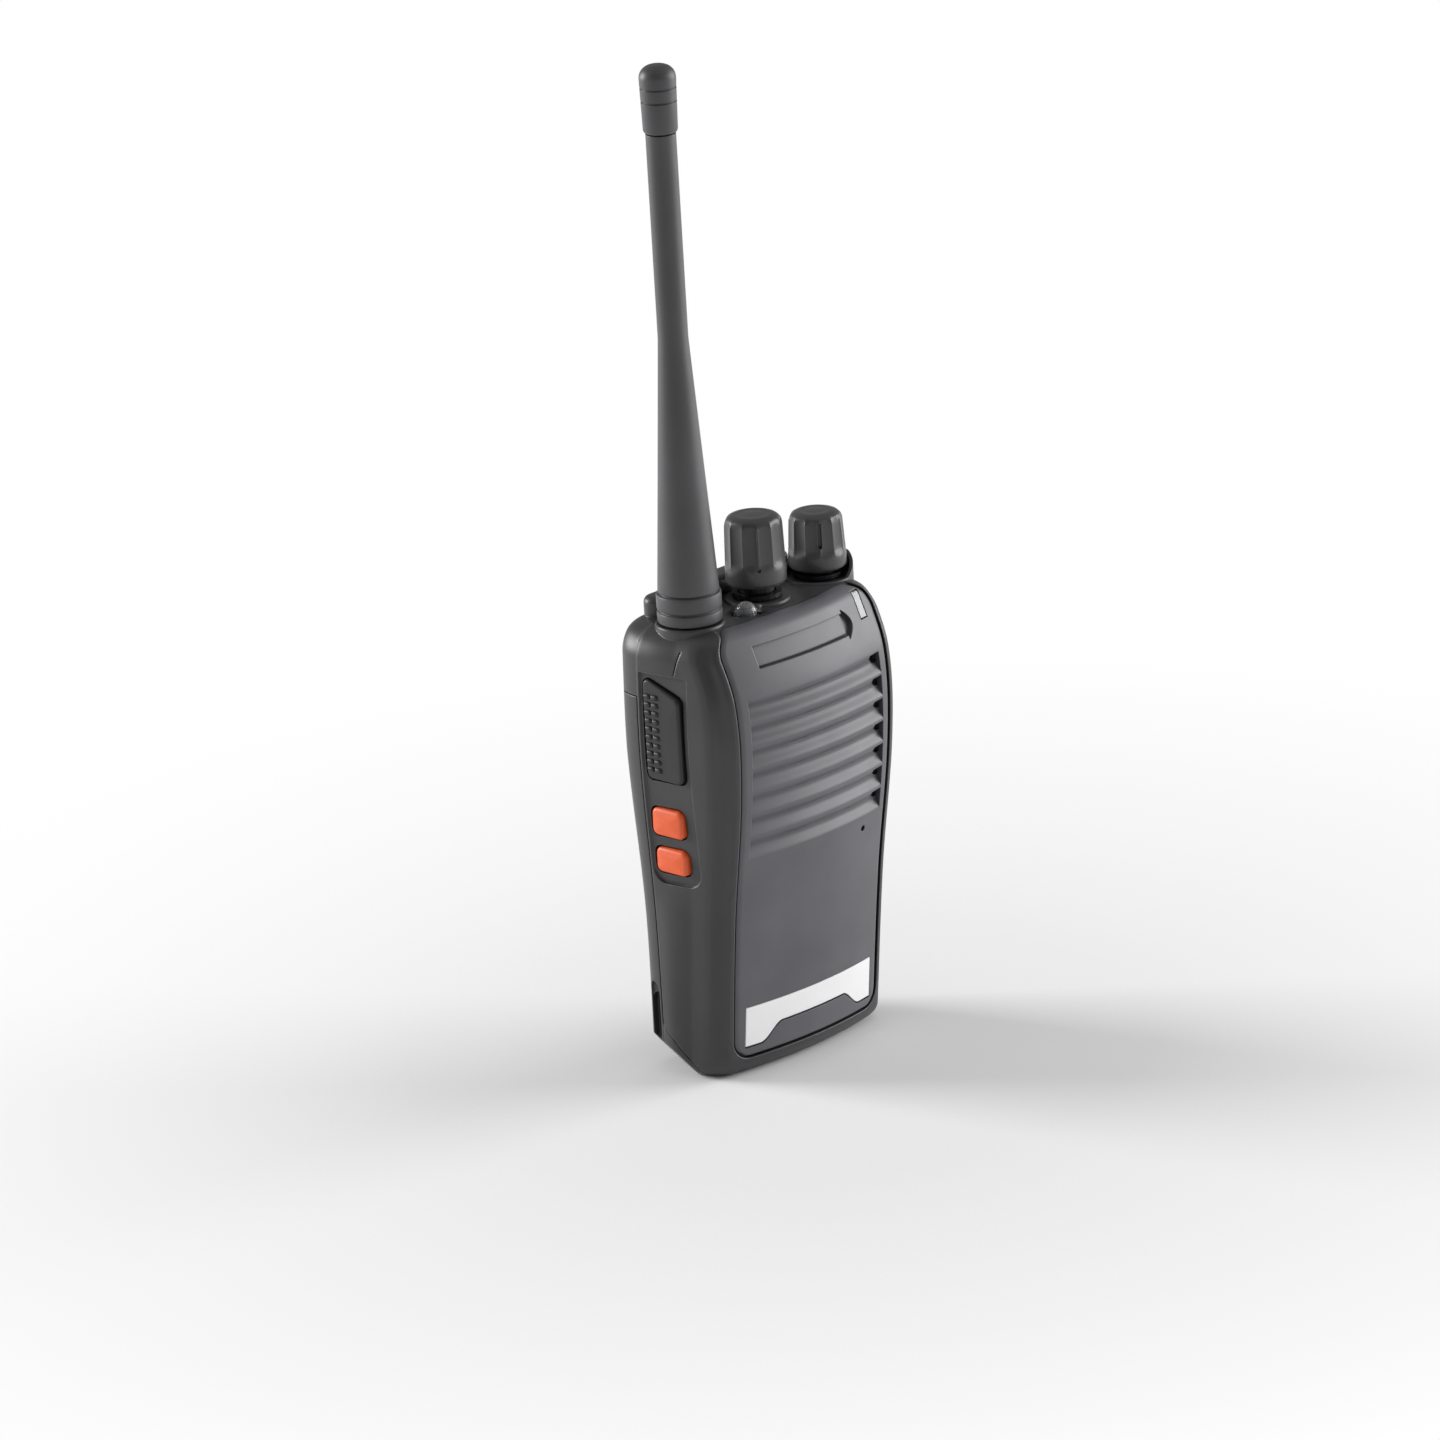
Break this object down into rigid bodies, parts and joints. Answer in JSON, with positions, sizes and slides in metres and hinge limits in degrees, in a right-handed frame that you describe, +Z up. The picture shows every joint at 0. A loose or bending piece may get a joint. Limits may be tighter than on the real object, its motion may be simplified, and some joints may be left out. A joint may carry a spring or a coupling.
{
  "type": "handheld two-way radio",
  "caption": "Handheld two-way radio with a whip antenna, top control knobs, side talk button and keys, louvred front, torch lamp and a slide-on battery pack.",
  "frame": {"origin": "on the flat standing face of the battery foot, midway between the sides", "axes": "+Z up along the body and antenna, -Y out of the louvred front, +X to the right as seen from the front"},
  "size_m": [0.0606, 0.034, 0.2239],
  "materials": {
    "case_black": "fine moulded grain",
    "panel_grey": "satin",
    "label_white": "printed film",
    "knob_black": "satin",
    "antenna_rubber": "matte",
    "key_rubber": "matte",
    "key_orange": "satin",
    "clear_lens": "clear moulding",
    "bright_metal": "plated",
    "gold_metal": "gold plated",
    "cast_metal": "as cast",
    "board_green": "solder mask",
    "cell_blue": "wrapped cell",
    "cloth_black": "woven"
  },
  "bodies": {
    "radio": {"front_housing": "case_black", "front_panel": "panel_grey", "label_plate": "label_white", "status_light_pipe": "clear_lens", "speaker_cloth": "cloth_black", "speaker_frame": "bright_metal", "speaker_cone": "cloth_black", "speaker_magnet": "bright_metal", "mic_boot": "key_rubber", "microphone": "bright_metal", "channel_switch": "cast_metal", "channel_nut": "bright_metal", "volume_control": "cast_metal", "volume_nut": "bright_metal", "antenna_socket": "gold_metal", "antenna_pin": "gold_metal", "torch_lens": "clear_lens", "torch_bezel": "bright_metal", "ptt_key_switch": "bright_metal", "upper_key_switch": "bright_metal", "lower_key_switch": "bright_metal", "key_board": "board_green", "jack_block": "case_black", "chassis": "cast_metal", "chassis_screw_lower_left": "bright_metal", "chassis_screw_lower_right": "bright_metal", "chassis_screw_upper_left": "bright_metal", "chassis_screw_upper_right": "bright_metal", "radio_terminal_negative": "gold_metal", "radio_terminal_positive": "gold_metal", "main_board": "board_green", "rf_shield": "bright_metal", "clip_insert_left": "gold_metal", "clip_insert_right": "gold_metal"},
    "antenna_whip": {"antenna_sheath": "antenna_rubber", "antenna_tip": "antenna_rubber", "antenna_ferrule": "gold_metal", "antenna_radiator": "gold_metal"},
    "channel_dial": {"channel_knob": "knob_black", "channel_shaft": "bright_metal"},
    "volume_dial": {"volume_knob": "knob_black", "volume_shaft": "bright_metal"},
    "talk_button": {"ptt_button": "key_rubber"},
    "upper_side_key": {"upper_key": "key_orange"},
    "lower_side_key": {"lower_key": "key_orange"},
    "socket_cover": {"jack_cover": "key_rubber"},
    "battery": {"battery_case": "case_black", "battery_lid": "case_black", "battery_cell": "cell_blue", "battery_board": "board_green", "pack_terminal_negative": "gold_metal", "pack_terminal_positive": "gold_metal", "charge_contact_left": "gold_metal", "charge_contact_right": "gold_metal"},
    "latch": {"battery_latch": "case_black"}
  },
  "joints": [
    {"name": "volume_turn", "type": "hinge", "parent": "radio", "child": "volume_dial", "pos_m": [0.0209, 0.001, 0.1033], "axis": [0, 0, 1], "range_deg": [-300, 0]},
    {"name": "channel_turn", "type": "hinge", "parent": "radio", "child": "channel_dial", "pos_m": [0.0016, 0.001, 0.1049], "axis": [0, 0, 1], "range_deg": [-337.5, 0]},
    {"name": "antenna_unscrew", "type": "hinge", "parent": "radio", "child": "antenna_whip", "pos_m": [-0.0193, 0.001, 0.1019], "axis": [0, 0, 1], "range_deg": [0, 1080]},
    {"name": "talk_press", "type": "slide", "parent": "radio", "child": "talk_button", "axis": [1, 0, 0], "range_m": [0, 0.001], "stiffness_N_per_m": 2500, "springref_m": -0.0005},
    {"name": "upper_key_press", "type": "slide", "parent": "radio", "child": "upper_side_key", "axis": [1, 0, 0], "range_m": [0, 0.0007], "stiffness_N_per_m": 2500, "springref_m": -0.0005},
    {"name": "lower_key_press", "type": "slide", "parent": "radio", "child": "lower_side_key", "axis": [1, 0, 0], "range_m": [0, 0.0007], "stiffness_N_per_m": 2500, "springref_m": -0.0005},
    {"name": "socket_cover_open", "type": "hinge", "parent": "radio", "child": "socket_cover", "pos_m": [0.03, 0.0053, 0.076], "axis": [0, 0, 1], "range_deg": [0, 110]},
    {"name": "battery_slide", "type": "slide", "parent": "radio", "child": "battery", "axis": [0, 0, -1], "range_m": [0, 0.012]},
    {"name": "latch_slide", "type": "slide", "parent": "radio", "child": "latch", "axis": [1, 0, 0], "range_m": [0, 0.002], "stiffness_N_per_m": 600, "springref_m": -0.001}
  ]
}
